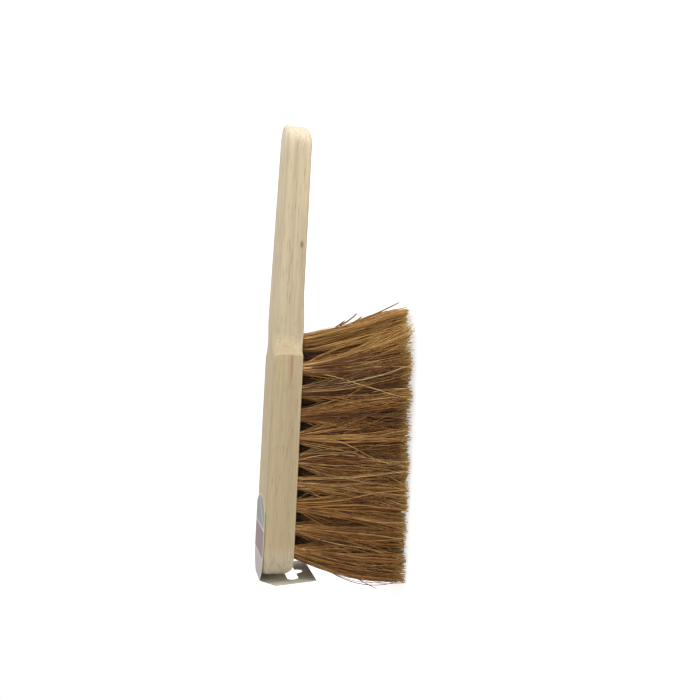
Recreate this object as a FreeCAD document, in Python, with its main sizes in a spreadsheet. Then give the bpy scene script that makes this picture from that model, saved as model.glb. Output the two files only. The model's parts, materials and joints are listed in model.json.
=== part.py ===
import FreeCAD, Part
import Sketcher
import os
import re

# A hand broom: a one-piece wooden stock with four rows of coir tufts, each tuft folded over a wire
# staple in its own drilled hole, and a card label that folds over the free end as a hang tab.
# The broom stands on its fibre tips: +Z up, the handle towards +X, symmetric about the XZ plane.

# Driving dimensions, in millimetres, degrees and counts
SIZES = {
    # Tufts: rows along the head, staggered, fanning out to the trimmed tips
    "outer_count": 9.0,
    "tuft_pitch": 14.0,
    "row_spacing": 11.0,
    "fibre_length": 69.0,
    "hole_diameter": 8.0,
    "hole_clearance": 0.1,
    "fan_center": 60.0,
    "fan_length": 1.156,
    "fan_width": 1.36,
    "tip_gap": 0.6,
    # Stock: one board, with the wood that is left round and behind the holes
    "stock_thickness": 18.5,
    "handle_length": 145.0,
    "edge_margin": 2.5,
    "nose_margin": 3.2,
    "shoulder_margin": 4.3,
    "neck_margin": 4.0,
    "back_wood": 2.5,
    "nose_radius": 8.5,
    "head_corner": 16.0,
    "shoulder_radius": 16.0,
    "grip_width": 28.5,
    "grip_rise": 0.5,
    "grip_taper": 2.0,
    "sweep_margin": 0.9,
    "sweep_length": 25.0,
    "back_edge": 2.0,
    "grip_edge": 3.5,
    # Staples: flat wire bent to a U, crown across the fold of each tuft
    "wire_width": 1.2,
    "wire_thickness": 0.8,
    "wire_clearance": 0.05,
    "staple_span": 4.4,
    "fold_depth": 3.7,
    "leg_depth": 5.5,
    # Card label: panel on the back, tab over the free end
    "card_thickness": 0.5,
    "label_overhang": 4.0,
    "label_margin": 0.5,
    "label_side_start": 15.0,
    "label_side_end": 40.0,
    "label_arch": 8.0,
    "crease_width": 18.0,
    "crease_gap": 0.35,
    "tab_width": 46.0,
    "tab_reach": 15.0,
    "tab_shoulder": 8.5,
    "tab_lean": 6.0,
    "slot_width": 32.0,
    "slot_height": 7.0,
    "slot_bump": 4.5,
    "slot_margin": 5.0,
}

# Sizes that follow from those, as formulas. Lengths along the broom are from the stock's free end.
HOLE_DEPTH = "(stock_thickness - leg_depth - back_wood)"
HEAD_WIDTH = "(3 * row_spacing + hole_diameter + 2 * edge_margin)"
NECK_WIDTH = "(row_spacing + hole_diameter + 2 * neck_margin)"
OUTER_START = "(nose_radius + nose_margin + hole_diameter / 2)"
INNER_START = f"({OUTER_START} + tuft_pitch / 2)"
INNER_COUNT = "(outer_count + 1)"
LAST_OUTER = f"({OUTER_START} + (outer_count - 1) * tuft_pitch)"
LAST_INNER = f"({INNER_START} + outer_count * tuft_pitch)"
HEAD_LENGTH = f"({LAST_OUTER} + hole_diameter / 2 + shoulder_margin)"
STOCK_LENGTH = f"({HEAD_LENGTH} + handle_length)"
SHOULDER_SPAN = f"(shoulder_radius - ({HEAD_WIDTH} - {NECK_WIDTH}) / 2)"
SHOULDER_END = f"({HEAD_LENGTH} + sqrt(shoulder_radius ^ 2 - {SHOULDER_SPAN} ^ 2))"
SWEEP_START = f"(max({SHOULDER_END}; {LAST_INNER} + hole_diameter / 2) + sweep_margin)"
MIDDLE = f"({STOCK_LENGTH} - label_overhang - card_thickness / 2) / 2"

# A face counts as level if its normal rises by more than the first, and as upright by less than the second
LEVEL = 0.9
UPRIGHT = 0.1

# Half the angle that one side of an eight-sided root takes up, in degrees
HALF_SIDE = 360 / 8 / 2

# The rows of tufts: name, distance from the middle plane, count and first station
ROWS = [
    ("left_outer", "(-1.5 * row_spacing)", "outer_count", OUTER_START),
    ("left_inner", "(-0.5 * row_spacing)", INNER_COUNT, INNER_START),
    ("right_inner", "(0.5 * row_spacing)", INNER_COUNT, INNER_START),
    ("right_outer", "(1.5 * row_spacing)", "outer_count", OUTER_START),
]

doc = FreeCAD.newDocument("HandBroom")
sheet = doc.addObject("Spreadsheet::Sheet", "Sizes")
for row, (size, number) in enumerate(SIZES.items(), start=1):
    sheet.set(f"A{row}", size)
    sheet.set(f"B{row}", str(number))
    sheet.setAlias(f"B{row}", size)
doc.recompute()


def formula(text):
    """Puts the sheet's name before each size named in a formula."""
    return re.sub(r"[a-z_]+", lambda word: f"Sizes.{word[0]}" if word[0] in SIZES else word[0], text)


def value(text):
    """The number that a formula gives."""
    return float(sheet.evalExpression(formula(text)))


def bind(item, prop, text):
    """Ties a property to a formula on the sheet."""
    item.setExpression(prop, formula(text))


def new_body(label, x, y, z):
    """A piece whose local origin stands at the given formulas, x from the stock's free end."""
    body = doc.addObject("PartDesign::Body", label)
    body.Label = label
    bind(body, "Placement.Base.x", f"{x} - {MIDDLE}")
    bind(body, "Placement.Base.y", y)
    bind(body, "Placement.Base.z", z)
    return body


def new_sketch(body, name, role, lift="0"):
    """A sketch on one of the piece's own planes, lifted off it by a formula."""
    sketch = body.newObject("Sketcher::SketchObject", name)
    plane = next(item for item in body.Origin.OriginFeatures if item.Role == role)
    sketch.AttachmentSupport = [(plane, "")]
    sketch.MapMode = "FlatFace"
    bind(sketch, "AttachmentOffset.Base.z", lift)
    return sketch


def tie(sketch, kind, *where, size):
    """Adds a dimension to a sketch and ties it to a formula."""
    index = sketch.addConstraint(Sketcher.Constraint(kind, *where, value(size)))
    bind(sketch, f"Constraints[{index}]", size)


def draw_outline(sketch, corners):
    """Closes an outline through corners (x, y, bend). Without a bend the edge to the next corner is
    straight; otherwise it is an arc of that radius, which turns clockwise if the radius is negative."""
    points = [FreeCAD.Vector(value(x), value(y), 0) for x, y, bend in corners]
    ends = []
    for (x, y, bend), here, there in zip(corners, points, points[1:] + points[:1]):
        if bend is None:
            ends.append((sketch.addGeometry(Part.LineSegment(here, there), False), 1, 2))
            continue
        turn = 1 if value(bend) > 0 else -1
        radius = abs(value(bend))
        chord = there - here
        left = FreeCAD.Vector(-chord.y, chord.x, 0).normalize()
        reach = max(radius**2 - chord.Length**2 / 4, 0) ** 0.5
        centre = (here + there) / 2 + left * (turn * reach)
        circle = Part.Circle(centre, FreeCAD.Vector(0, 0, 1), radius)
        start, stop = (here, there) if turn > 0 else (there, here)
        arc = Part.ArcOfCircle(circle, circle.parameter(start), circle.parameter(stop))
        ends.append((sketch.addGeometry(arc, False), *((1, 2) if turn > 0 else (2, 1))))
    for (edge, start, stop), (after, next_start, next_stop) in zip(ends, ends[1:] + ends[:1]):
        sketch.addConstraint(Sketcher.Constraint("Coincident", edge, stop, after, next_start))
    for (edge, start, stop), (x, y, bend) in zip(ends, corners):
        tie(sketch, "DistanceX", -1, 1, edge, start, size=x)
        tie(sketch, "DistanceY", -1, 1, edge, start, size=y)
        if bend is not None:
            tie(sketch, "Radius", edge, size=bend.lstrip("-"))


def draw_box(sketch, left, low, right, high):
    """A rectangle between two corners given as formulas."""
    draw_outline(sketch, [(left, low, None), (right, low, None), (right, high, None), (left, high, None)])


def draw_circle(sketch, x, y, radius):
    """A circle whose centre and radius are given as formulas."""
    centre = FreeCAD.Vector(value(x), value(y), 0)
    ring = sketch.addGeometry(Part.Circle(centre, FreeCAD.Vector(0, 0, 1), value(radius)), False)
    tie(sketch, "DistanceX", -1, 1, ring, 3, size=x)
    tie(sketch, "DistanceY", -1, 1, ring, 3, size=y)
    tie(sketch, "Radius", ring, size=radius)


def extrude(body, kind, name, sketch, length=None, symmetric=False):
    """A pad or pocket of a sketch, as long as a formula says, or through everything without one."""
    feature = body.newObject(f"PartDesign::{kind}", name)
    feature.Profile = sketch
    feature.SideType = "Symmetric" if symmetric else "One side"
    # Both go along the sketch's normal, which a pocket does only when reversed
    feature.Reversed = kind == "Pocket"
    if length is None:
        feature.Type = "ThroughAll"
    else:
        bind(feature, "Length", length)
    doc.recompute()
    return feature


def repeat_along_row(body, name, originals, count):
    """Repeats features along their row of tufts."""
    pattern = body.newObject("PartDesign::LinearPattern", name)
    pattern.Originals = originals
    pattern.Direction = (originals[0].Profile[0], ["H_Axis"])
    pattern.Mode = "Spacing"
    bind(pattern, "Offset", "tuft_pitch")
    bind(pattern, "Occurrences", count)
    body.Tip = pattern
    doc.recompute()


def edge_names(shape, wanted):
    """The names of the edges that a test picks, given each edge and the faces that meet in it."""
    names = []
    for number, edge in enumerate(shape.Edges, start=1):
        if wanted(edge, shape.ancestorsOfType(edge, Part.Face)):
            names.append(f"Edge{number}")
    return names


def slope(face):
    """The upward share of a face's normal at its middle."""
    low_u, high_u, low_v, high_v = face.ParameterRange
    return face.normalAt((low_u + high_u) / 2, (low_v + high_v) / 2).z


def ease_edges(body, kind, name, size, wanted):
    """Takes the edges that a test picks off the piece so far: a Fillet rounds them, a Chamfer bevels them."""
    base = body.Tip
    feature = body.newObject(f"PartDesign::{kind}", name)
    feature.Base = (base, edge_names(base.Shape, wanted))
    bind(feature, "Radius" if kind == "Fillet" else "Size", size)
    doc.recompute()


def staple_outline(sketch, center_x, clearance):
    """The U of a staple, crown towards the hole's mouth, grown all round by a clearance."""
    outside = f"(staple_span / 2 + {clearance})"
    inside = f"(staple_span / 2 - wire_thickness - {clearance})"
    crown = f"({HOLE_DEPTH} - fold_depth - {clearance})"
    under_crown = f"({HOLE_DEPTH} - fold_depth + wire_thickness + {clearance})"
    tips = f"({HOLE_DEPTH} + leg_depth + {clearance})"
    corners = [
        (f"{center_x} - {outside}", crown, None),
        (f"{center_x} + {outside}", crown, None),
        (f"{center_x} + {outside}", tips, None),
        (f"{center_x} + {inside}", tips, None),
        (f"{center_x} + {inside}", under_crown, None),
        (f"{center_x} - {inside}", under_crown, None),
        (f"{center_x} - {inside}", tips, None),
        (f"{center_x} - {outside}", tips, None),
    ]
    draw_outline(sketch, corners)


def make_stock():
    """Head and handle from one board: sawn to its outline, shaped in side view, eased and drilled."""
    body = new_body("stock", "0", "0", "fibre_length")

    # Outline seen from the back: rounded free end, concave shoulders, slightly swelling handle
    flank = f"{HEAD_WIDTH} / 2"
    neck = f"{NECK_WIDTH} / 2"
    grip = "grip_width / 2"
    corner_end = f"({flank} - head_corner)"
    grip_end = f"{STOCK_LENGTH} - {grip}"
    plan = new_sketch(body, "plan_outline", "XY_Plane")
    draw_outline(
        plan,
        [
            ("0", corner_end, None),
            ("0", f"-{corner_end}", "head_corner"),
            ("head_corner", f"-{flank}", None),
            (HEAD_LENGTH, f"-{flank}", "-shoulder_radius"),
            (SHOULDER_END, f"-{neck}", None),
            (grip_end, f"-{grip}", grip),
            (STOCK_LENGTH, "0", grip),
            (grip_end, grip, None),
            (SHOULDER_END, neck, "-shoulder_radius"),
            (HEAD_LENGTH, flank, None),
            ("head_corner", flank, "head_corner"),
        ],
    )
    extrude(body, "Pad", "board", plan, "stock_thickness")

    # Side view: nose at the free end, handle swept up off the fibre face and thinned along its back
    sweep_middle = f"{SWEEP_START} + sweep_length / 2"
    sweep_end = f"{SWEEP_START} + sweep_length"
    sweep_radius = "(sweep_length ^ 2 + grip_rise ^ 2) / (4 * grip_rise)"
    side = new_sketch(body, "side_outline", "XZ_Plane")
    draw_outline(
        side,
        [
            ("nose_radius", "0", None),
            (SWEEP_START, "0", sweep_radius),
            (sweep_middle, "grip_rise / 2", f"-{sweep_radius}"),
            (sweep_end, "grip_rise", None),
            (STOCK_LENGTH, "grip_rise", None),
            (STOCK_LENGTH, "stock_thickness - grip_taper", None),
            (SWEEP_START, "stock_thickness", None),
            ("0", "stock_thickness", None),
            ("0", "nose_radius", "nose_radius"),
        ],
    )
    spare = "stock_thickness"
    draw_box(side, f"-{spare}", f"-{spare}", f"{STOCK_LENGTH} + {spare}", f"stock_thickness + {spare}")
    extrude(body, "Pocket", "side_shaping", side, symmetric=True)

    # The back is eased all round and the handle's underside rounded; the fibre face keeps its edge
    ease_edges(
        body,
        "Chamfer",
        "back_ease",
        "back_edge",
        lambda edge, faces: sorted(slope(face) > LEVEL for face in faces) == [False, True],
    )
    under_grip = value(HEAD_LENGTH)
    ease_edges(
        body,
        "Fillet",
        "grip_round",
        "grip_edge",
        lambda edge, faces: edge.CenterOfMass.x > under_grip
        and sorted(slope(face) < -LEVEL for face in faces) == [False, True]
        and min(abs(slope(face)) for face in faces) < UPRIGHT,
    )

    # Blind holes for the tufts
    for name, across, count, start in ROWS:
        mouth = new_sketch(body, f"mouth_{name}", "XY_Plane")
        draw_circle(mouth, start, across, "hole_diameter / 2")
        drilled = extrude(body, "Pocket", f"drilled_{name}", mouth, HOLE_DEPTH)
        repeat_along_row(body, f"row_{name}", [drilled], count)
    return body


def draw_fan(sketch, mouth, left, right):
    """A tuft's free length from one side: half its mouth each way at the top, its tips' two ends below."""
    corners = [(f"-{mouth}", "0"), (left, "-fibre_length"), (right, "-fibre_length"), (mouth, "0")]
    draw_outline(sketch, [(x, z, None) for x, z in corners])


def make_tuft(label, station, across):
    """A bundle of coir: a root that fills its hole, cut for the staple, and a free length that fans out,
    leans away from the middle of the head and is trimmed flat. All its sides are flat."""
    body = new_body(label, station, across, "fibre_length")
    root = "(hole_diameter / 2 - hole_clearance)"
    near = f"({root} * cos({HALF_SIDE}))"
    far = f"({root} * sin({HALF_SIDE}))"

    # Free length: its shape along the head, then across the head by cutting away a frame round it
    lean = f"(fan_length - 1) * ({station} - fan_center)"
    reach = "(fan_length * tuft_pitch - tip_gap) / 2"
    along = new_sketch(body, f"along_{label}", "XZ_Plane")
    draw_fan(along, near, f"{lean} - {reach}", f"{lean} + {reach}")
    lean = f"(fan_width - 1) * {across}"
    reach = "(fan_width * row_spacing - tip_gap) / 2"
    breadth = f"(abs({lean}) + {reach})"
    extrude(body, "Pad", f"fan_{label}", along, f"2 * {breadth}", symmetric=True)
    crossways = new_sketch(body, f"crossways_{label}", "YZ_Plane")
    draw_fan(crossways, near, f"{lean} - {reach}", f"{lean} + {reach}")
    draw_box(crossways, f"-2 * {breadth}", "-2 * fibre_length", f"2 * {breadth}", "fibre_length")
    extrude(body, "Pocket", f"trim_{label}", crossways, symmetric=True)

    # Eight-sided root in the round hole, up to its fold at the bottom
    fold = new_sketch(body, f"fold_{label}", "XY_Plane")
    eighths = [(near, far), (far, near), (f"-{far}", near), (f"-{near}", far)]
    eighths += [(f"-{near}", f"-{far}"), (f"-{far}", f"-{near}"), (far, f"-{near}"), (near, f"-{far}")]
    draw_outline(fold, [(x, y, None) for x, y in eighths])
    extrude(body, "Pad", f"root_{label}", fold, f"{HOLE_DEPTH} - hole_clearance")

    # Way through the folded root for the staple
    way = new_sketch(body, f"way_{label}", "XZ_Plane")
    staple_outline(way, "0", "wire_clearance")
    extrude(body, "Pocket", f"staple_way_{label}", way, "wire_width + 2 * wire_clearance", symmetric=True)
    return body


def make_staples():
    """One flat-wire staple in each hole, crown across the folded root, legs in the wood."""
    body = new_body("tuft_staples", "0", "0", "fibre_length")
    body.AllowCompound = True
    for name, across, count, start in ROWS:
        wire = new_sketch(body, f"wire_{name}", "XZ_Plane", f"-{across}")
        staple_outline(wire, start, "0")
        first = extrude(body, "Pad", f"staple_{name}", wire, "wire_width", symmetric=True)
        repeat_along_row(body, f"staples_{name}", [first], count)
    return body


def make_label_panel():
    """Card glued on the back of the head, arched at the top, drawn in to the crease past the free end."""
    body = new_body("label_panel", "0", "0", "fibre_length + stock_thickness")
    crease = "crease_gap - label_overhang"
    half = f"({HEAD_WIDTH} / 2 - back_edge - label_margin)"
    half_crease = "crease_width / 2"
    run = f"(label_side_start - ({crease}))"
    drop = f"({half} - {half_crease})"
    shoulder = f"({run} ^ 2 + {drop} ^ 2) / (2 * {drop})"
    arch = f"({half} ^ 2 + label_arch ^ 2) / (2 * label_arch)"
    outline = new_sketch(body, "panel_outline", "XY_Plane")
    draw_outline(
        outline,
        [
            (crease, half_crease, None),
            (crease, f"-{half_crease}", shoulder),
            ("label_side_start", f"-{half}", None),
            ("label_side_end", f"-{half}", arch),
            ("label_side_end + label_arch", "0", arch),
            ("label_side_end", half, None),
            ("label_side_start", half, shoulder),
        ],
    )
    extrude(body, "Pad", "panel_card", outline, "card_thickness")
    return body


def make_hang_tab():
    """The same card past the crease, folded down over the free end, with a slot for a shop hook."""
    crease_height = "fibre_length + stock_thickness + card_thickness / 2"
    body = new_body("hang_tab", "-label_overhang", "0", crease_height)
    body.Placement.Rotation = FreeCAD.Rotation(FreeCAD.Vector(0, 1, 0), -90)
    bind(body, "Placement.Rotation.Angle", "-(90 + tab_lean)")
    half_crease = "crease_width / 2"
    half = "tab_width / 2"
    length = "(stock_thickness + tab_reach)"
    outline = new_sketch(body, "tab_outline", "XY_Plane")
    draw_outline(
        outline,
        [
            ("-crease_gap", half_crease, None),
            ("-tab_shoulder", half, None),
            (f"-{length}", half, None),
            (f"-{length}", f"-{half}", None),
            ("-tab_shoulder", f"-{half}", None),
            ("-crease_gap", f"-{half_crease}", None),
        ],
    )
    extrude(body, "Pad", "tab_card", outline, "card_thickness", symmetric=True)

    # Hook slot: a long rounded opening with a bump in the middle, towards the tab's free edge
    end = "slot_height / 2"
    reach = "slot_width / 2"
    top = f"(slot_margin - {length})"
    far = f"({top} + slot_bump)"
    middle = f"({far} + {end})"
    near = f"({far} + slot_height)"
    slot = new_sketch(body, "slot_outline", "XY_Plane")
    draw_outline(
        slot,
        [
            (near, f"-({reach} - {end})", None),
            (near, f"{reach} - {end}", end),
            (middle, reach, end),
            (far, f"{reach} - {end}", None),
            (far, "slot_bump", "slot_bump"),
            (top, "0", "slot_bump"),
            (far, "-slot_bump", None),
            (far, f"-({reach} - {end})", end),
            (middle, f"-{reach}", end),
        ],
    )
    extrude(body, "Pocket", "hook_slot", slot, symmetric=True)
    return body


pieces = [make_stock()]
for row_name, across, count, start in ROWS:
    for number in range(round(value(count))):
        station = f"({start} + {number} * tuft_pitch)"
        pieces.append(make_tuft(f"tuft_{row_name}_{number + 1}", station, across))
pieces += [make_staples(), make_label_panel(), make_hang_tab()]
doc.recompute()

for item in doc.Objects:
    if {"Invalid", "Error"} & set(item.State):
        raise RuntimeError(f"{item.Label} failed: {item.State}")
for piece in pieces:
    if piece.Shape.isNull() or not piece.Shape.isValid():
        raise RuntimeError(f"{piece.Label} has no valid shape")

os.makedirs("parts", exist_ok=True)
for piece in pieces:
    piece.Shape.exportStep(f"parts/{piece.Label}.step")
    print(piece.Label, len(piece.Shape.Solids), round(piece.Shape.Volume, 1))
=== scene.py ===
import json

import bmesh
import bpy
import numpy as np
from mathutils import Matrix, Vector


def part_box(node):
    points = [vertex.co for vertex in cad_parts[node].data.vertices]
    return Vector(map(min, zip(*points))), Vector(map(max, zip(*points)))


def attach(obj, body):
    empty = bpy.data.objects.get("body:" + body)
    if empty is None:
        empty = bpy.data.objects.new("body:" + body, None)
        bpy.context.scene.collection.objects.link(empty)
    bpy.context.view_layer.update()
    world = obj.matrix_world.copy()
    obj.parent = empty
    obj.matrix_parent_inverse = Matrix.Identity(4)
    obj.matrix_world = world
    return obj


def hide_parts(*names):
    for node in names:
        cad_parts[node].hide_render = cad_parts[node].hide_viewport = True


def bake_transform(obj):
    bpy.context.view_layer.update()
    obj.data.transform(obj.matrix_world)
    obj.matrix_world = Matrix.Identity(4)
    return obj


# A hand broom as it is put together: drilled stock, staples, coir tufts, folded card label, then the studio.
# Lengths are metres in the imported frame: +Z up from the fibre tips to the back, +X to the handle's end.
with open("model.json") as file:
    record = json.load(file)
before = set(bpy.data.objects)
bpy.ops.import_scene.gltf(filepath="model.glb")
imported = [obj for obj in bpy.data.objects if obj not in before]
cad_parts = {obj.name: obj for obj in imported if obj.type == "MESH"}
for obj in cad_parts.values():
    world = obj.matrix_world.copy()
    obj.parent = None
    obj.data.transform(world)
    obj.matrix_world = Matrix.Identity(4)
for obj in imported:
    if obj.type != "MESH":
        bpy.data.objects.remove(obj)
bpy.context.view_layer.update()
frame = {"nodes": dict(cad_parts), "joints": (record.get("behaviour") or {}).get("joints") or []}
nodes = frame["nodes"]

# Stock
# One board of pale, unlacquered hardwood, head and handle in one piece. It is sawn to its outline, its back
# edges are eased and the handle's underside rounded. The fibre face is drilled with a blind hole per tuft.
stock_low, stock_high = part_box("stock")
free_end, handle_end = stock_low.x, stock_high.x
fibre_face, back_face = stock_low.z, stock_high.z
flank = stock_high.y
head_corner = 0.016
head_length = 0.136
shoulder_radius = 0.016
neck = 0.0135
grip = 0.01425
nose_radius = 0.0085
sweep_start = 0.1536
sweep_length = 0.025
head_rise = 0.0007
grip_rise = 0.0002
neck_dip = 0.0012
neck_rise = 0.001
grip_taper = 0.0025
head_back_round = 0.004
grip_back_round = 0.0055
end_back_round = 0.0015
face_edge = 0.0004
grip_round = 0.0025
end_round = 0.005
hole_radius = 0.004
# How far flank and hollow stop short of the shoulder's crisp edge, in metres and in degrees
edge_room = 0.004
edge_turn = 9
# Steps of the mesh: in over a face, round an edge, up a side and round a hole
face_steps = 16
round_steps = 7
side_steps = 9
hole_sides = 36
merge_distance = 1e-6
sharp_edge = 32


def smooth_step(share):
    """Rises from 0 to 1 with level ends: 3 s^2 - 2 s^3 of the share held between 0 and 1."""
    share = np.clip(share, 0, 1)
    return share * share * (3 - 2 * share)


def arc(centre, radius, start, stop, count):
    """Points of an arc, with the ways out from its centre: centre plus radius times the unit circle."""
    angle = np.radians(np.linspace(start, stop, count))
    way = np.stack([np.cos(angle), np.sin(angle)], 1)
    return np.array(centre) + radius * way, way


def straight(start, stop, way, count):
    """Evenly spaced points between two ends, all facing one way."""
    share = np.linspace(0, 1, count)[:, None]
    return np.array(start) * (1 - share) + np.array(stop) * share, np.tile(way, (count, 1))


def stock_outline():
    """Half of the outline seen from the back, free end to handle's end, with outward directions: a straight
    end, a round corner, the head's flank, a hollow shoulder from a crisp edge, and the round grip."""
    span = shoulder_radius - (flank - neck)
    head_end = free_end + head_length
    shoulder_end = head_end + np.sqrt(shoulder_radius**2 - span**2)
    shoulder_start = 180 + np.degrees(np.arcsin(span / shoulder_radius))
    corner = (free_end + head_corner, flank - head_corner)
    # Flank and hollow stop short of the crisp edge, so that they don't fold over there when the outline is
    # inset. The edge itself then keeps its distance from both
    hollow_centre = (shoulder_end, neck + shoulder_radius)
    hollow, into = arc(hollow_centre, shoulder_radius, shoulder_start + edge_turn, 270, 24)
    at_edge = np.radians(shoulder_start)
    edge_way = np.array([-np.cos(at_edge), -np.sin(at_edge)])
    mitre = ((0, 1) + edge_way) / (1 + edge_way[1])
    runs = [
        straight((free_end, 0), (free_end, corner[1]), (-1, 0), 8),
        arc(corner, head_corner, 180, 90, 32),
        straight((corner[0], flank), (head_end - edge_room, flank), (0, 1), 80),
        straight((head_end, flank), (head_end, flank), mitre, 1),
        (hollow, -into),
        straight((shoulder_end, neck), (handle_end - grip, grip), (0, 1), 80),
        arc((handle_end - grip, 0), grip, 90, 0, 40),
    ]
    return np.concatenate([run[0] for run in runs]), np.concatenate([run[1] for run in runs])


def underside(x):
    """Height of the fibre face: a quarter-round nose, a face that rises a little along the head, a shallow
    belly at the neck, and a slow S to the grip."""
    along = x - free_end
    before_nose = np.clip(nose_radius - along, 0, nose_radius)
    nose = nose_radius - np.sqrt(nose_radius**2 - before_nose**2)
    climb = head_rise * np.clip(along / head_length, 0, 1)
    swept = smooth_step((along - sweep_start) / sweep_length)
    belly = neck_dip * smooth_step((along - head_length) / shoulder_radius) * (1 - swept)
    return fibre_face + nose + climb - belly + (grip_rise - head_rise) * swept


def back(x):
    """Height of the back: level along the head, a slight rise at the neck, then an even fall to the end."""
    along = x - free_end
    share = (along - sweep_start) / (handle_end - free_end - sweep_start)
    rise = neck_rise * smooth_step((along - head_length) / sweep_length)
    return back_face + rise - grip_taper * np.clip(share, 0, 1)


def stock_half():
    """Half of the stock's skin, as a profile carried round the outline: from the middle of the underside out
    to its edge, round that, up the side, round the back edge and in to the middle of the back."""
    outline, ways = stock_outline()
    spine_x = np.clip(outline[:, 0], free_end + head_corner, handle_end - grip)
    spine = np.stack([spine_x, 0 * spine_x], 1)
    along = outline[:, 0] - free_end
    on_grip = smooth_step((along - head_length) / shoulder_radius)
    at_end = smooth_step((outline[:, 0] - handle_end + grip) / grip)
    under_round = face_edge * smooth_step(along / nose_radius - 1)
    under_round += (grip_round - face_edge) * smooth_step((along - sweep_start) / sweep_length)
    under_round += (end_round - grip_round) * at_end
    back_round = head_back_round + (grip_back_round - head_back_round) * on_grip
    back_round += (end_back_round - grip_back_round) * at_end

    def ring(inset, inward, height):
        plan = outline - ways * inset[..., None]
        plan = plan + (spine - plan) * inward[..., None]
        return np.concatenate([plan, height(plan[..., 0])[..., None]], -1)

    flat = np.zeros_like(along)
    share = (np.linspace(1, 0, face_steps)[:-1, None] ** 2) * np.ones_like(along)
    turn = np.radians(np.linspace(0, 90, round_steps)[:, None])
    level = np.linspace(0, 1, side_steps)[1:-1, None]
    low = ring(under_round + flat * share, share, underside)
    low_round = ring(
        under_round * (1 - np.sin(turn)),
        turn * flat,
        lambda x: underside(x) + under_round * (1 - np.cos(turn)),
    )
    side = ring(
        level * flat,
        level * flat,
        lambda x: (underside(x) + under_round) * (1 - level) + (back(x) - back_round) * level,
    )
    high_round = ring(
        back_round * (1 - np.cos(turn)),
        turn * flat,
        lambda x: back(x) - back_round * (1 - np.sin(turn)),
    )
    high = ring(back_round + flat * share, share[::-1], back)
    return np.concatenate([low, low_round, side, high_round, high])


def grid_faces(rows, columns):
    """Quads of a grid of points: each joins two neighbours in a row to the two in the next row."""
    index = np.arange(rows * columns).reshape(rows, columns)
    return np.stack([index[:-1, :-1], index[:-1, 1:], index[1:, 1:], index[1:, :-1]], -1).reshape(-1, 4)


def new_piece(name, points, faces):
    """A piece from points and blocks of faces, with doubles merged and faces turned outwards."""
    mesh = bpy.data.meshes.new(name)
    corners = [face for block in faces for face in block.tolist()]
    mesh.from_pydata(points.reshape(-1, 3).tolist(), [], corners)
    shaped = bmesh.new()
    shaped.from_mesh(mesh)
    bmesh.ops.remove_doubles(shaped, verts=shaped.verts, dist=merge_distance)
    bmesh.ops.recalc_face_normals(shaped, faces=shaped.faces)
    shaped.to_mesh(mesh)
    shaped.free()
    piece = bpy.data.objects.new(name, mesh)
    bpy.context.scene.collection.objects.link(piece)
    return piece


def cut_away(piece, cutter):
    """Takes the cutter's volume out of a piece for good, and removes the cutter."""
    cut = piece.modifiers.new("cut", "BOOLEAN")
    cut.operation = "DIFFERENCE"
    cut.solver = "EXACT"
    cut.object = cutter
    finished = bpy.data.meshes.new_from_object(piece.evaluated_get(bpy.context.evaluated_depsgraph_get()))
    piece.modifiers.clear()
    piece.data = finished
    bpy.data.objects.remove(cutter)


def smooth_but_edges(piece, degrees):
    """Shades a piece smooth, apart from edges sharper than an angle."""
    piece.data.shade_smooth()
    piece.data.set_sharp_from_angle(angle=np.radians(degrees))


def node_points(node):
    """A CAD node's points as an array."""
    points = np.empty(len(nodes[node].data.vertices) * 3)
    nodes[node].data.vertices.foreach_get("co", points)
    return points.reshape(-1, 3)


def tuft_ends(node):
    """Where a tuft sits: the corners of its root's box in the hole and of its tips' box."""
    points = node_points(node)
    root = points[points[:, 2] > fibre_face + face_edge]
    tips = points[points[:, 2] < points[:, 2].min() + face_edge]
    return root.min(0), root.max(0), tips.min(0), tips.max(0)


def hole_plugs(centres, top):
    """Drilled holes as plugs: a circle carried from below the fibre face to the bottom, shut at both ends."""
    round_way = np.linspace(0, 2 * np.pi, hole_sides + 1)
    ring = np.stack([np.cos(round_way), np.sin(round_way)], 1)
    reach = np.array([0, hole_radius, hole_radius, 0])[:, None, None]
    below = fibre_face - hole_radius
    height = np.array([below, below, top, top])[:, None, None]
    plug = np.concatenate([reach * ring, height + 0 * ring[:, :1]], -1)
    shift = np.concatenate([centres, np.zeros((len(centres), 1))], 1)
    points = shift[:, None, None] + plug
    first_point = np.arange(len(centres)) * plug[..., 0].size
    faces = grid_faces(*plug.shape[:2]) + first_point[:, None, None]
    return points, faces.reshape(-1, 4)


tufts = sorted(name for name in nodes if name.startswith("tuft_") and name != "tuft_staples")
ends = {name: tuft_ends(name) for name in tufts}
half = stock_half()
half_faces = grid_faces(*half.shape[:2])
both_halves = np.stack([half, half * (1, -1, 1)])
stock = new_piece("wooden_stock", both_halves, [half_faces, half_faces + half[..., 0].size])
root_centres = np.array([(low[:2] + high[:2]) / 2 for low, high, _, _ in ends.values()])
hole_bottom = max(high[2] for _, high, _, _ in ends.values())
plug_points, plug_faces = hole_plugs(root_centres, hole_bottom)
cut_away(stock, new_piece("hole_plugs", plug_points, [plug_faces]))
smooth_but_edges(stock, sharp_edge)


def colour(code):
    """A written colour, such as d8c6a8, as the linear red, green, blue and alpha that a shader takes: each
    part over 12.92 where it is dark, and otherwise a power of 2.4."""
    parts = np.array([int(code[k : k + 2], 16) / 255 for k in (0, 2, 4)])
    linear = np.where(parts <= 0.04045, parts / 12.92, ((parts + 0.055) / 1.055) ** 2.4)
    return (*linear.tolist(), 1.0)


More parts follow.
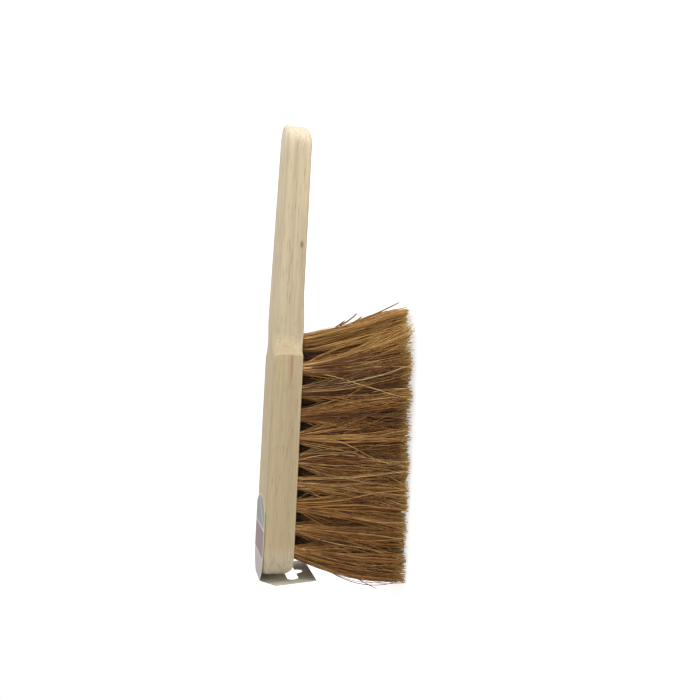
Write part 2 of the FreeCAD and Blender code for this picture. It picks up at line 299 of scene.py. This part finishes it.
class Shade:
    """An output in a material's nodes. Arithmetic on it adds Math nodes, and node() adds any other node."""

    def __init__(self, tree, output=None):
        self.tree = tree
        self.output = output

    def node(self, kind, settings, inputs, output=0):
        """Adds a node: its type, the settings made first, and the values or links of its sockets."""
        added = self.tree.nodes.new(f"ShaderNode{kind}")
        for name, setting in settings.items():
            if name == "stops":
                for _ in setting[2:]:
                    added.color_ramp.elements.new(1)
                for stop, (place, shade) in zip(added.color_ramp.elements, setting):
                    stop.position = place
                    stop.color = shade
            else:
                setattr(added, name, setting)
        for name, given in inputs.items():
            if isinstance(given, Shade):
                self.tree.links.new(given.output, added.inputs[name])
            else:
                added.inputs[name].default_value = given
        return Shade(self.tree, added.outputs[output] if added.outputs else None)

    def math(self, operation, *values):
        return self.node("Math", {"operation": operation}, dict(enumerate(values)))

    def __add__(self, other):
        return self.math("ADD", self, other)

    __radd__ = __add__

    def __sub__(self, other):
        return self.math("SUBTRACT", self, other)

    def __rsub__(self, other):
        return self.math("SUBTRACT", other, self)

    def __mul__(self, other):
        return self.math("MULTIPLY", self, other)

    __rmul__ = __mul__

    def rise(self, start, stop):
        """0 before start, 1 after stop, smooth between; falling where stop is less."""
        inputs = {"Value": self, "From Min": start, "From Max": stop}
        return self.node("MapRange", {"interpolation_type": "SMOOTHSTEP"}, inputs)

    def mix(self, first, second):
        """Blends two colours by this value."""
        return self.node("Mix", {"data_type": "RGBA"}, {0: self, 6: first, 7: second}, 2)

    def stretched(self, scale):
        """These coordinates, scaled along each axis."""
        return self.node("Mapping", {}, {"Vector": self, "Scale": scale})

    def noise(self, detail=3.0, roughness=0.5, distortion=0.0):
        """Cloudy noise over these coordinates, about 0.2 to 0.8."""
        inputs = {"Detail": detail, "Roughness": roughness, "Distortion": distortion}
        return self.node("TexNoise", {}, {"Vector": self, "Scale": 1.0, **inputs})

    def distance(self, place):
        """How far these coordinates are from a place."""
        return self.node("VectorMath", {"operation": "DISTANCE"}, {0: self, 1: place}, 1)

    def bump(self, strength, depth):
        """The normal of a surface raised by this value."""
        return self.node("Bump", {}, {"Height": self, "Strength": strength, "Distance": depth})


def new_material(name, paint):
    """A material whose Principled shader takes the sockets that a paint function returns for its nodes."""
    material = bpy.data.materials.new(name)
    material.use_nodes = True
    tree = material.node_tree
    tree.nodes.clear()
    surface = Shade(tree).node("BsdfPrincipled", {}, paint(Shade(tree)))
    surface.node("OutputMaterial", {}, {"Surface": surface})
    return material


# Tones: how soon the head's passes into the handle's, and the painted light that makes the two ends paler,
# from each end
tone_length = 0.018
free_end_light = (0.022, 0.008)
handle_end_light = (0.024, 0.004)
# Pin knots and a resin streak: centre, radius, how far they are drawn out along the grain, and colour
wood_marks = [
    ((0.0664, -grip, 0.0727), 0.0008, 2, "6d5138"),
    ((0.0549, 0.0, 0.087), 0.0008, 2, "6d5138"),
    ((-0.0085, -flank, 0.0765), 0.0007, 12, "a9805c"),
]


def paint_wood(tree):
    """Pale hardwood along X: broad yellowish and pinkish streaks, fine fibre, short dark pores, two pin knots
    and a resin streak, darker on the head, with painted light making the two ends paler."""
    place = tree.node("TexCoord", {}, {}, "Object")
    broad = place.stretched((5, 190, 150)).noise(2.0, 0.5, 0.2)
    streak = place.stretched((9, 520, 430)).noise(3.0, 0.6, 0.1)
    fibre = place.stretched((40, 2600, 2600)).noise(2.0, 0.6)
    pore = place.stretched((75, 2000, 1700)).noise(1.0, 0.5).rise(0.6, 0.7)
    worn = place.stretched((25, 60, 60)).noise(2.0)
    head_end = free_end + head_length
    length = place.node("SeparateXYZ", {}, {0: place})
    along = length.rise(head_end, head_end + tone_length)
    yellow = along.mix(colour("c7b58e"), colour("d0c1a0"))
    pink = along.mix(colour("c1ad8b"), colour("ccbb9d"))
    shade = broad.rise(0.38, 0.62).mix(yellow, pink)
    # Painted light: the free end and the handle's end made paler, as if lit from beyond them
    end_light = length.rise(*(free_end + reach for reach in free_end_light))
    shade = (end_light * 0.75).mix(shade, colour("dbcdb2"))
    end_light = length.rise(*(handle_end - reach for reach in handle_end_light))
    shade = (end_light * 0.6).mix(shade, colour("e6d9c1"))
    dark = streak.rise(0.42, 0.66) * 0.32 + fibre.rise(0.4, 0.75) * 0.16
    shade = dark.mix(shade, colour("a58d6c"))
    shade = (pore * 0.38).mix(shade, colour("86694a"))
    for centre, size, drawn, stain in wood_marks:
        spot = place.stretched((1 / drawn, 1, 1)).distance((centre[0] / drawn, centre[1], centre[2]))
        shade = (spot.rise(size * 2.2, size * 0.4) * 0.75).mix(shade, colour(stain))
    height = fibre * 0.4 - pore * 0.8 + streak * 0.3
    rough = 0.5 + worn * 0.2 + pore * 0.15
    normal = height.bump(0.25, 0.0003)
    return {"Base Color": shade, "Roughness": rough, "Normal": normal, "Specular IOR Level": 0.35}


stock.data.materials.append(new_material("sanded_wood", paint_wood))
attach(stock, "broom")
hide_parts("stock")

# Staples
# Bright flat steel wire bent to a U. One is driven into the bottom of each hole with its crown across the
# folded root of the tuft, so hardly any of it shows.


def paint_wire(tree):
    """Bright drawn wire: a grey metal with fine draw lines in its roughness."""
    place = tree.node("TexCoord", {}, {}, "Object")
    lines = place.stretched((900, 900, 90)).noise(2.0)
    return {
        "Base Color": lines.mix(colour("9a9a98"), colour("c4c4c2")),
        "Metallic": 1.0,
        "Roughness": 0.22 + lines * 0.25,
    }


staples = nodes["tuft_staples"]
staples.data.materials.clear()
staples.data.materials.append(new_material("bright_wire", paint_wire))

# Tufts
# Bundles of coir, the stiff brown fibre of coconut husks, folded over the staples and trimmed almost level.
# Each fibre bends its own way and sticks to its neighbours in strands, and some stray over the next tufts.
fibre_count = 420
strand_count = 24
stray_share = 0.15
first_seed = 300
# Fibres: radius, how widely it varies and within which limits, and how it shrinks from root to tip
fibre_radius = 0.00021
radius_spread = 0.36
radius_limits = (0.5, 2.0)
radius_taper = (1.1, 0.85)
# How far the tint turns each tube about its line, so that like fibres don't all face one way
tube_turn = 40
# Steps along a fibre: inside the hole, at its rim, just clear of it, then evenly to the tip
root_depth = 0.005
rim_share = 0.02
first_share = 0.1
fibre_steps = 10
# Hole mouths: how full a hole is, how far the fibres press out over its rim, and over which share of their
# length. The inner rows, within row_gap of the middle, are more crowded
root_fill = 0.96
row_gap = 0.011
inner_press = 0.0015
outer_press = 0.0002
press_share = 0.04
# By the neck the last tufts are slack: they fill less of their holes, lie on the side of the head and lean
# that way, press out more and sooner, open a little earlier and bow less
slack_length = 0.012
slack_fill = 0.14
slack_shift = 0.0015
slack_press = 0.002
slack_press_share = 0.032
slack_lean = 0.0045
slack_opening = 0.1
slack_bow = 0.0004
# Spread of the tips along and across: of the tuft as a multiple of its solid, of strands, fibres and strays
tuft_spread = (1.55, 1.25)
strand_spread = (0.0042, 0.0016)
fibre_spread = (0.0022, 0.0016)
stray_spread = (0.0075, 0.003)
fan_middle = 0.075
fan_lean = 0.07
turned_back = (1.0, 1.8)
held_in = (0.97, 1.0)
# Opening from root to tip: slow at first, but earlier and stiffer in the first tufts at the free end
slow_start = 1.25
early_start = 0.2
early_opening = 5
early_length = 0.012
stiff_length = 0.02
stiff_share = 0.85
# Bows, S bends and waves: of strands, fibres and strays
strand_bow = (0.0009, 0.001)
fibre_bow = 0.0006
stray_bow = 0.002
fibre_bend = 0.0004
stray_bend = 0.0008
wave_count = (1.0, 3.5)
wave_swing = (0.0001, 0.0008)
# Trim: a line that rises slightly towards the handle, ragged by the cut
trim_height = 0.0006
trim_slant = 0.013
trim_ragged = 0.0006
# Ends of the rows: past the solids' tips at the free end and at the sides, and short of them by the neck
past_free_end = 0.001
short_of_neck = 0.0024
past_sides = 0.0045
tips_low = min(tip_low[0] for _, _, tip_low, _ in ends.values()) - past_free_end
tips_high = max(tip_high[0] for _, _, _, tip_high in ends.values()) - short_of_neck
tips_wide = max(tip_high[1] for _, _, _, tip_high in ends.values()) + past_sides


def fibre_lines(root_low, root_high, tip_low, tip_high, random):
    """Centrelines of a tuft's fibres, fibres x steps x 3, with each one's strand and whether it strays. A
    fibre starts in the round root and ends where that place falls among the tips, spread over the neighbours'
    tips too. Between, it opens by 1 - (1 - s^q)^p of the share s of its length, with a bow for its strand and
    one for itself, an S and a slow wave."""
    turn = random.uniform(0, 2 * np.pi, fibre_count)
    out = np.sqrt(random.uniform(0, 1, fibre_count))
    disc = np.stack([np.cos(turn), np.sin(turn)], 1) * out[:, None]
    square = disc * np.hypot(*disc.T)[:, None] / np.abs(disc).max(1, keepdims=True)
    middle = (root_low + root_high)[:2] / 2
    along = middle[0] - free_end
    slack = smooth_step((along - head_length) / slack_length)
    first = np.exp(-((along / stiff_length) ** 4))
    fill = (root_fill - slack_fill * slack, root_fill)
    root = middle + disc * hole_radius * fill - (slack_shift * slack, 0)
    # Strands: fibres near one another in the root keep together at the tips and bow alike
    seeds = random.uniform(-1, 1, (strand_count, 2))
    strand = ((disc[:, None] - seeds) ** 2).sum(2).argmin(1)
    stray = random.uniform(0, 1, fibre_count) < stray_share
    wild = np.where(stray, 1.0, 0.0)[:, None]
    tip = (tip_low + tip_high)[:2] / 2 + square * (tip_high - tip_low)[:2] / 2 * tuft_spread
    tip = tip + random.normal(0, 1, (strand_count, 2))[strand] * strand_spread
    tip = tip + (fan_lean * (along - fan_middle), 0)
    tip = tip + random.normal(0, 1, (fibre_count, 2)) * (fibre_spread + wild * stray_spread)
    # Tips that would pass the ends of the row are turned back
    past = np.clip(tip[:, 0] - tips_high, 0, None) - np.clip(tips_low - tip[:, 0], 0, None)
    tip[:, 0] -= past * random.uniform(*turned_back, fibre_count)
    tip[:, 1] = np.clip(tip[:, 1], -tips_wide, tips_wide) * random.uniform(*held_in, fibre_count)
    both_bows = (strand_bow[0] - slack_bow * slack, strand_bow[1])
    bow = random.normal(0, 1, (strand_count, 2))[strand] * both_bows
    bow = bow + random.normal(0, 1, (fibre_count, 2)) * (fibre_bow + stray_bow * wild)
    bow[:, 0] *= 1 - stiff_share * max(slack, first)
    bend = random.normal(0, 1, (fibre_count, 2)) * (fibre_bend + stray_bend * wild)
    ragged = np.abs(random.normal(0, trim_ragged, fibre_count))
    level = trim_height + trim_slant * np.clip(tip[:, 0] - free_end, 0, None) + ragged
    at_root = [-root_depth / fibre_face, 0, rim_share]
    share = np.concatenate([at_root, np.linspace(first_share, 1, fibre_steps)])
    free = np.clip(share, 0, 1)
    late = slow_start - early_start * first
    early = 1 + early_opening * np.exp(-along / early_length) + slack_opening * slack
    opened = (1 - (1 - free**late) ** early)[:, None]
    pressed = (1 - np.exp(-free / (press_share - slack_press_share * slack)))[:, None]
    is_inner = abs(middle[1]) < row_gap
    mouth = np.where(is_inner, inner_press + slack_press * slack, outer_press) * pressed
    lean = -slack_lean * slack * pressed * (1 - opened) * (1, 0)
    waves = random.uniform(*wave_count, fibre_count)[:, None]
    phase = random.uniform(0, 2 * np.pi, (2, fibre_count))[..., None]
    swing = random.uniform(*wave_swing, fibre_count)[:, None] * free
    wave = np.stack([swing * np.sin(2 * np.pi * waves * share + phase[k]) for k in (0, 1)], -1)
    plan = root[:, None] + (tip - root)[:, None] * opened + disc[:, None] * mouth + lean + wave
    plan = plan + bow[:, None] * (4 * free * (1 - free))[:, None]
    plan = plan + bend[:, None] * np.sin(2 * np.pi * free)[:, None]
    height = fibre_face + (level[:, None] - fibre_face) * share
    return np.concatenate([plan, height[..., None]], -1), strand, stray


def fibre_piece(name, lines, radius, tint):
    """Three-sided tubes round centrelines, closed at both ends: at each point the corners lie on a circle
    square to the line. Attributes keep each fibre's tint and the share of its length, and the map gives each
    fibre a strip."""
    count, steps = lines.shape[:2]
    run = np.gradient(lines, axis=1)
    run /= np.linalg.norm(run, axis=2, keepdims=True)
    side = np.cross(run, (1.0, 0.0, 0.0))
    side /= np.linalg.norm(side, axis=2, keepdims=True)
    other = np.cross(run, side)
    angle = (np.arange(3) * 2 * np.pi / 3 + tint[:, None] * tube_turn)[:, None, :, None]
    across = np.cos(angle) * side[:, :, None] + np.sin(angle) * other[:, :, None]
    points = lines[:, :, None] + radius[:, :, None, None] * across
    index = np.arange(count * steps * 3).reshape(count, steps, 3)
    after = np.roll(index, -1, 2)
    walls = np.stack([index[:, :-1], index[:, 1:], after[:, 1:], after[:, :-1]], -1).reshape(-1, 4)
    caps = np.concatenate([index[:, 0], index[:, -1, ::-1]])
    mesh = bpy.data.meshes.new(name)
    mesh.from_pydata(points.reshape(-1, 3).tolist(), [], walls.tolist() + caps.tolist())
    mesh.shade_smooth()
    share = np.broadcast_to(np.linspace(0, 1, steps)[None, :, None], (count, steps, 3))
    own = np.broadcast_to(tint[:, None, None], (count, steps, 3))
    for attribute, values in (("along", share), ("tint", own)):
        kept = mesh.attributes.new(attribute, "FLOAT", "POINT")
        kept.data.foreach_set("value", values.ravel().astype(np.float32))
    strip = (np.arange(count)[:, None, None] + (np.arange(3) + 0.5) / 3) / count + 0 * share
    corner_points = np.concatenate([walls.ravel(), caps.ravel()])
    flat_map = np.stack([strip.ravel(), share.ravel()], 1)[corner_points]
    mesh.uv_layers.new(name="OFBake").data.foreach_set("uv", flat_map.ravel().astype(np.float32))
    piece = bpy.data.objects.new(name, mesh)
    bpy.context.scene.collection.objects.link(piece)
    return piece


# Places of the painted shade among the inner roots, down from the fibre face and out from the middle,
# and of the painted light on the last tufts
root_shade_depth = (0.036, 0.006)
root_shade_width = (0.0145, 0.010)
neck_light_span = (0.137, 0.146)


def paint_coir(tree):
    """Coir: each fibre from dark to golden brown by its tint, with darker stretches along it and paler,
    yellow tips. Painted shade darkens each fibre towards its root, and the inner rows' roots most; painted
    light makes the last tufts by the neck paler and more golden."""
    place = tree.node("TexCoord", {}, {}, "Object")
    tint = tree.node("Attribute", {"attribute_name": "tint"}, {}, "Fac")
    along = tree.node("Attribute", {"attribute_name": "along"}, {}, "Fac")
    browns = [
        (0.0, colour("301b0d")),
        (0.3, colour("7b4b1f")),
        (0.55, colour("b27a37")),
        (0.8, colour("d9ab62")),
        (1.0, colour("eccf96")),
    ]
    base = tree.node("ValToRGB", {"stops": browns}, {"Fac": tint})
    patch = place.stretched((220, 220, 90)).noise(2.0)
    shade = (patch.rise(0.4, 0.65) * 0.35).mix(base, colour("70451e"))
    length = tree.node("SeparateXYZ", {}, {0: place}, 0)
    across = tree.node("SeparateXYZ", {}, {0: place}, 1)
    height = tree.node("SeparateXYZ", {}, {0: place}, 2)
    # Painted shade: the roots of the inner rows, near the fibre face, darkened
    depth = height.rise(*(fibre_face - reach for reach in root_shade_depth))
    at_neck = length.rise(*(free_end + reach for reach in neck_light_span))
    inside = across.math("ABSOLUTE", across).rise(*root_shade_width) * (1.0 - at_neck)
    shade = (depth * inside * 0.8).mix(shade, colour("28160b"))
    # Painted light: the last tufts by the neck made paler and more golden
    shade = (at_neck * 0.45).mix(shade, colour("cf9f54"))
    # Painted shade: every fibre darker towards its root, by the fibre face
    shade = (along.rise(0.14, 0.0) * 0.5).mix(shade, colour("4a2c14"))
    shade = (along.rise(0.9, 1.0) * 0.65).mix(shade, colour("e2bb6c"))
    rough = 0.4 + patch * 0.25
    return {"Base Color": shade, "Roughness": rough, "Specular IOR Level": 0.45}


# Tints: the strands' share, the shape of their and the fibres' own spread from dark to light, and the strays'
strand_share = 0.55
strand_tints = (0.8, 0.95)
fibre_tints = (0.9, 1.0)
stray_tints = (0.25, 1.0)
# Fibres that have come loose, by the neck and at the free end: start, middle, end, radius and tint
loose_fibres = {
    "tuft_left_inner_10": [
        ((0.008, -0.006, 0.066), (0.020, -0.008, 0.033), (0.0349, -0.012, 0.0079), 0.00065, 0.25),
        ((0.013, -0.007, 0.052), (0.017, -0.008, 0.047), (0.0214, -0.009, 0.042), 0.00055, 0.1),
        ((0.018, -0.008, 0.045), (0.021, -0.0085, 0.039), (0.0263, -0.009, 0.0344), 0.00065, 0.05),
        ((0.018, -0.008, 0.042), (0.020, -0.0085, 0.036), (0.0246, -0.009, 0.031), 0.00055, 0.2),
    ],
    "tuft_left_outer_1": [
        ((-0.130, -0.012, 0.054), (-0.150, -0.018, 0.027), (-0.1402, -0.022, 0.0012), 0.00028, 0.2),
        ((-0.1385, -0.0175, 0.030), (-0.142, -0.0185, 0.023), (-0.1455, -0.020, 0.0153), 0.00028, 0.25),
    ],
}


def loose_line(start, middle, end, steps):
    """A curve from start to end, drawn towards the middle point: (1-s)^2, 2 s (1-s) and s^2 of the three."""
    share = np.linspace(0, 1, steps)[:, None]
    return (1 - share) ** 2 * start + 2 * share * (1 - share) * middle + share**2 * end


coir = new_material("coir", paint_coir)
for number, name in enumerate(tufts):
    random = np.random.default_rng(first_seed + number)
    lines, strand, stray = fibre_lines(*ends[name], random)
    tint = strand_share * random.beta(*strand_tints, strand_count)[strand]
    tint = tint + (1 - strand_share) * random.beta(*fibre_tints, fibre_count)
    tint = np.where(stray, random.uniform(*stray_tints, fibre_count), tint)
    thick = fibre_radius * np.clip(random.lognormal(0, radius_spread, fibre_count), *radius_limits)
    steps = lines.shape[1]
    for start, middle, end, loose_radius, loose_tint in loose_fibres.get(name, []):
        line = loose_line(np.array(start), np.array(middle), np.array(end), steps)
        lines = np.concatenate([lines, line[None]])
        tint = np.append(tint, loose_tint)
        thick = np.append(thick, loose_radius)
    radius = thick[:, None] * np.linspace(*radius_taper, steps)
    tuft = fibre_piece(name.replace("tuft", "coir"), lines, radius, tint)
    tuft.data.materials.append(coir)
    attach(tuft, "broom")
    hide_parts(name)

# Card label
# One piece of grey board, coated and printed on its outer side. Its arched panel is glued on the back of the
# head, and past the free end it folds down at a crease into a hang tab with a slot for a shop's hook.
panel_low, panel_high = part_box("label_panel")
fold = next(joint for joint in frame["joints"] if joint["name"] == "tab_fold")
crease = Vector(fold["pos_m"])
card_thickness = panel_high.z - panel_low.z
panel_half = panel_high.y
panel_top = panel_high.x - crease.x
panel_arch = 0.008
panel_side_end = panel_top - panel_arch
panel_side_start = 0.019
crease_half = 0.009
tab_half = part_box("hang_tab")[1].y
tab_shoulder = 0.0085
tab_length = 0.0335
tab_turn = np.radians(fold["range_deg"][1])
bend_radius = 0.0009
slot_reach = 0.016
slot_end = 0.0035
slot_middle = -0.0205
slot_bump = 0.0045
# Half of the flat card that the bend takes up, radii of the arch and of the lower corners, and the map's size
bend_half = bend_radius * np.tan(tab_turn / 2)
arch_radius = (panel_half**2 + panel_arch**2) / (2 * panel_arch)
corner_drop = panel_half - crease_half
corner_radius = (panel_side_start**2 + corner_drop**2) / (2 * corner_drop)
map_width = 2 * tab_half
map_height = tab_length + panel_top
card_sharp_edge = 40


def card_half_width(v):
    """Half the card's width at a distance v from the crease, positive on the panel: an arched top, straight
    sides, rounded lower corners, the narrow crease, slanted shoulders and the straight tab."""
    arch = np.sqrt(np.clip(arch_radius**2 - (v - panel_top + arch_radius) ** 2, 0, None))
    below = np.clip(panel_side_start - v, 0, panel_side_start)
    corner = panel_half - corner_radius + np.sqrt(corner_radius**2 - below**2)
    tab = crease_half + (tab_half - crease_half) * np.clip(-v / tab_shoulder, 0, 1)
    panel = np.where(v > panel_side_end, arch, np.where(v > panel_side_start, panel_half, corner))
    return np.where(v > 0, panel, tab)


def card_margin(v, across):
    """How far points of the flat card are from its cut edge: the way to its side or its arch, the less."""
    below_arch = panel_top - arch_radius + np.sqrt(arch_radius**2 - across**2) - v
    return np.minimum(card_half_width(v) - np.abs(across), below_arch)


def flat_card():
    """The card laid flat, as a closed slab: rows along v, from the tab's edge to the top of the arch, each
    spread evenly over its width, once for each side, with the rim between them."""
    arch = panel_side_end + panel_arch * np.sin(np.radians(np.linspace(0, 90, 16)))
    v = np.concatenate([
        np.linspace(-tab_length, -tab_shoulder, 20),
        np.linspace(-tab_shoulder, -bend_half, 8)[1:],
        np.linspace(-bend_half, bend_half, 13)[1:],
        np.linspace(bend_half, panel_side_start, 14)[1:],
        np.linspace(panel_side_start, panel_side_end, 12)[1:],
        arch[1:],
    ])
    share = np.linspace(-1, 1, 33)
    across = card_half_width(v)[:, None] * share
    rows = np.broadcast_to(v[:, None], across.shape)
    # Round trip across the printed side and back across the inner side
    loop = np.concatenate([across, across[:, ::-1], across[:, :1]], 1)
    above = 0 * across + 1
    depth = np.concatenate([above, -above, above[:, :1]], 1) * card_thickness / 2
    length = np.concatenate([rows, rows, rows[:, :1]], 1)
    slab = np.stack([length, loop, depth], -1)
    columns = len(share)
    lid = np.arange(columns - 1)
    cap = np.stack([lid, lid + 1, 2 * columns - 2 - lid, 2 * columns - 1 - lid], 1)
    return slab, [grid_faces(*slab.shape[:2]), cap]


def slot_plug():
    """The hook slot as a plug through the flat card: its outline is a band with round ends and a half-round
    bump towards the tab's free edge, carried through the card's thickness."""
    far = slot_middle - slot_end
    right = arc((slot_middle, slot_reach - slot_end), slot_end, 0, 180, 20)[0]
    bump = arc((far, 0), slot_bump, 90, 270, 20)[0]
    left = arc((slot_middle, slot_end - slot_reach), slot_end, 180, 360, 20)[0]
    outline = np.concatenate([right, bump, left])
    outline = np.concatenate([outline, outline[:1]])
    middle = np.array([(slot_middle, 0)]) + 0 * outline
    depth = np.array([-1, -1, 1, 1])[:, None, None] * card_thickness
    plan = np.stack([middle, outline, outline, middle])
    points = np.concatenate([plan, depth + 0 * plan[..., :1]], -1)
    return points, [grid_faces(*points.shape[:2])]


def folded(flat):
    """Where points of the flat card go when it is folded: level on the panel, then round a small arc at the
    crease, then straight down the tab. A point keeps its distance from the card's middle layer."""
    v, across, depth = flat.T
    turn = np.clip((bend_half - v) / (2 * bend_half), 0, 1) * tab_turn
    x = bend_half - bend_radius * np.sin(turn) + np.clip(v - bend_half, 0, None)
    z = bend_radius * (np.cos(turn) - 1)
    hang = np.clip(-v - bend_half, 0, None)
    x = x - hang * np.cos(tab_turn) - depth * np.sin(turn)
    z = z - hang * np.sin(tab_turn) + depth * np.cos(turn)
    return np.stack([x, across, z], 1) + np.array(crease)


# Print, up from the crease: the pink field's ends, a slanted line's place and slope, and softness of edges
pink_low = 0.0152
pink_high = 0.0328
slant_place = 0.045
slant_slope = 0.6
field_edge = (-0.0003, 0.0002)
line_edge = (0.0009, 0.0005)
border_edge = (0.0010, 0.0006)


def paint_print(tree):
    """The printed side, on the flat card's own map: grey above, a dusty pink field, pale grey below and on
    the tab, parted by pale lines, with a pale slanted line over the grey, a pale border and a faint grain."""
    place = tree.node("UVMap", {"uv_map": "OFBake"}, {})
    grain = tree.node("TexCoord", {}, {}, "Object").stretched((900, 900, 900)).noise(3.0)
    parts = place.node("SeparateXYZ", {}, {0: place})
    across = (parts - 0.5) * map_width
    up = Shade(parts.tree, parts.output.node.outputs[1]) * map_height - tab_length
    margin = tree.node("Attribute", {"attribute_name": "margin"}, {}, "Fac")
    above_pink = up.rise(*(pink_high + edge for edge in field_edge))
    below_pink = up.rise(*(pink_low - edge for edge in field_edge))
    shade = above_pink.mix(colour("836566"), colour("858680"))
    shade = below_pink.mix(shade, colour("b4ada9"))
    slant = up - across * slant_slope
    for away in (up - pink_high, up - pink_low, slant - slant_place):
        line = away.math("ABSOLUTE", away)
        shade = line.rise(*line_edge).mix(shade, colour("c9c4bf"))
    shade = margin.rise(*border_edge).mix(shade, colour("d8d6d0"))
    shade = (grain * 0.12).mix(shade, colour("77736f"))
    rough = 0.42 + grain * 0.12
    normal = grain.bump(0.05, 0.0001)
    return {"Base Color": shade, "Roughness": rough, "Normal": normal, "Specular IOR Level": 0.4}


def paint_board(tree):
    """The uncoated side and cut edges: grey-beige board, flecked and fibrous."""
    place = tree.node("TexCoord", {}, {}, "Object")
    cloud = place.stretched((220, 220, 220)).noise(3.0)
    fleck = place.stretched((1500, 900, 1500)).noise(2.0).rise(0.55, 0.7)
    shade = cloud.mix(colour("bdb8a3"), colour("d2cebc"))
    shade = (fleck * 0.3).mix(shade, colour("96907c"))
    return {"Base Color": shade, "Roughness": 0.75 + fleck * 0.1, "Normal": cloud.bump(0.1, 0.0002)}


slab, slab_faces = flat_card()
card = new_piece("card_label", slab, slab_faces)
plug, plug_walls = slot_plug()
cut_away(card, new_piece("slot_plug", plug, plug_walls))
flat = np.empty(len(card.data.vertices) * 3)
card.data.vertices.foreach_get("co", flat)
flat = flat.reshape(-1, 3)
facing = np.empty(len(card.data.polygons) * 3)
card.data.polygons.foreach_get("normal", facing)
corner_points = np.empty(len(card.data.loops), int)
card.data.loops.foreach_get("vertex_index", corner_points)
flat_map = np.stack([flat[:, 1] / map_width + 0.5, (flat[:, 0] + tab_length) / map_height], 1)[corner_points]
card.data.uv_layers.new(name="OFBake").data.foreach_set("uv", flat_map.ravel().astype(np.float32))
margin = card_margin(flat[:, 0], flat[:, 1]).astype(np.float32)
card.data.attributes.new("margin", "FLOAT", "POINT").data.foreach_set("value", margin)
card.data.materials.append(new_material("printed_card", paint_print))
card.data.materials.append(new_material("grey_board", paint_board))
card.data.polygons.foreach_set("material_index", np.where(facing.reshape(-1, 3)[:, 2] > 0.5, 0, 1))
card.data.vertices.foreach_set("co", folded(flat).ravel())
card.data.update()
smooth_but_edges(card, card_sharp_edge)
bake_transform(card)
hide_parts("label_panel", "hang_tab")

# Studio
# A plain pale floor that the broom stands on, a white room, soft lamps at the near side, above the back and
# past the handle's end, and the camera at the photograph's angle, turned so that the handle points up.
floor_reach = 4.0
floor_glow = 0.6
room_light = 0.54
backdrop_light = 1.0
floor_points = np.array([(-1, -1, 0), (1, -1, 0), (1, 1, 0), (-1, 1, 0)]) * floor_reach
floor = new_piece("floor", floor_points, [np.array([[0, 1, 2, 3]])])


def seen_directly(tree):
    """1 for rays that the eye, a mirror or glass sends, 0 for the light that falls on things."""
    camera, mirror, glass = (
        tree.node("LightPath", {}, {}, f"Is {kind} Ray") for kind in ("Camera", "Glossy", "Transmission")
    )
    return camera.math("MAXIMUM", camera.math("MAXIMUM", camera, mirror), glass)


floor_material = bpy.data.materials.new("pale_floor")
floor_material.use_nodes = True
floor_material.node_tree.nodes.clear()
ground = Shade(floor_material.node_tree)
matt = ground.node("BsdfDiffuse", {}, {"Color": colour("f2f2f2")})
glow_strength = seen_directly(ground) * floor_glow
glow = ground.node("Emission", {}, {"Color": colour("ffffff"), "Strength": glow_strength})
surface = ground.node("AddShader", {}, {0: matt, 1: glow})
surface.node("OutputMaterial", {}, {"Surface": surface})
floor.data.materials.append(floor_material)

world = bpy.data.worlds.new("white_room")
bpy.context.scene.world = world
world.use_nodes = True
world.node_tree.nodes.clear()
sky = Shade(world.node_tree)
room = sky.node("Background", {}, {"Color": colour("ffffff"), "Strength": room_light})
backdrop = sky.node("Background", {}, {"Color": colour("ffffff"), "Strength": backdrop_light})
surface = sky.node("MixShader", {}, {0: seen_directly(sky), 1: room, 2: backdrop})
surface.node("OutputWorld", {}, {"Surface": surface})


def soft_lamp(name, place, towards, size, power):
    """A square soft lamp at a place, facing another."""
    light = bpy.data.lights.new(name, "AREA")
    light.size = size
    light.energy = power
    lamp = bpy.data.objects.new(name, light)
    lamp.location = place
    lamp.rotation_euler = (Vector(towards) - Vector(place)).to_track_quat("-Z", "Y").to_euler()
    bpy.context.scene.collection.objects.link(lamp)


soft_lamp("side_lamp", place=(0.1, -0.95, 0.35), towards=(0.0, 0.0, 0.05), size=0.5, power=1.45)
soft_lamp("back_lamp", place=(0.4, 0.35, 0.8), towards=(0.1, 0.0, 0.08), size=0.4, power=2.3)
soft_lamp("end_lamp", place=(0.55, -0.25, 0.11), towards=(0.05, 0.0, 0.08), size=0.2, power=1.7)

picture_size = 700
focal_pixels = 760
view_turn = np.radians(-0.607)
view_rise = np.radians(13.157)
view_roll = np.radians(2.919)
view_distance = 0.49165
view_target = Vector((0.0029, 0, 0.03553))
behind = Vector((
    np.sin(view_turn) * np.cos(view_rise),
    -np.cos(view_turn) * np.cos(view_rise),
    np.sin(view_rise),
))
level_up = (Vector((1, 0, 0)) - behind.x * behind).normalized()
level_right = level_up.cross(behind)
right = level_right * np.cos(view_roll) + level_up * np.sin(view_roll)
up = level_up * np.cos(view_roll) - level_right * np.sin(view_roll)
lens = bpy.data.cameras.new("camera")
lens.sensor_width = 36.0
lens.lens = focal_pixels / picture_size * lens.sensor_width
lens.clip_start = 0.01
camera = bpy.data.objects.new("camera", lens)
stand = Matrix.Translation(view_target + behind * view_distance)
camera.matrix_world = stand @ Matrix((right, up, behind)).transposed().to_4x4()
bpy.context.scene.collection.objects.link(camera)
bpy.context.scene.camera = camera
bpy.context.scene.view_settings.view_transform = "Standard"
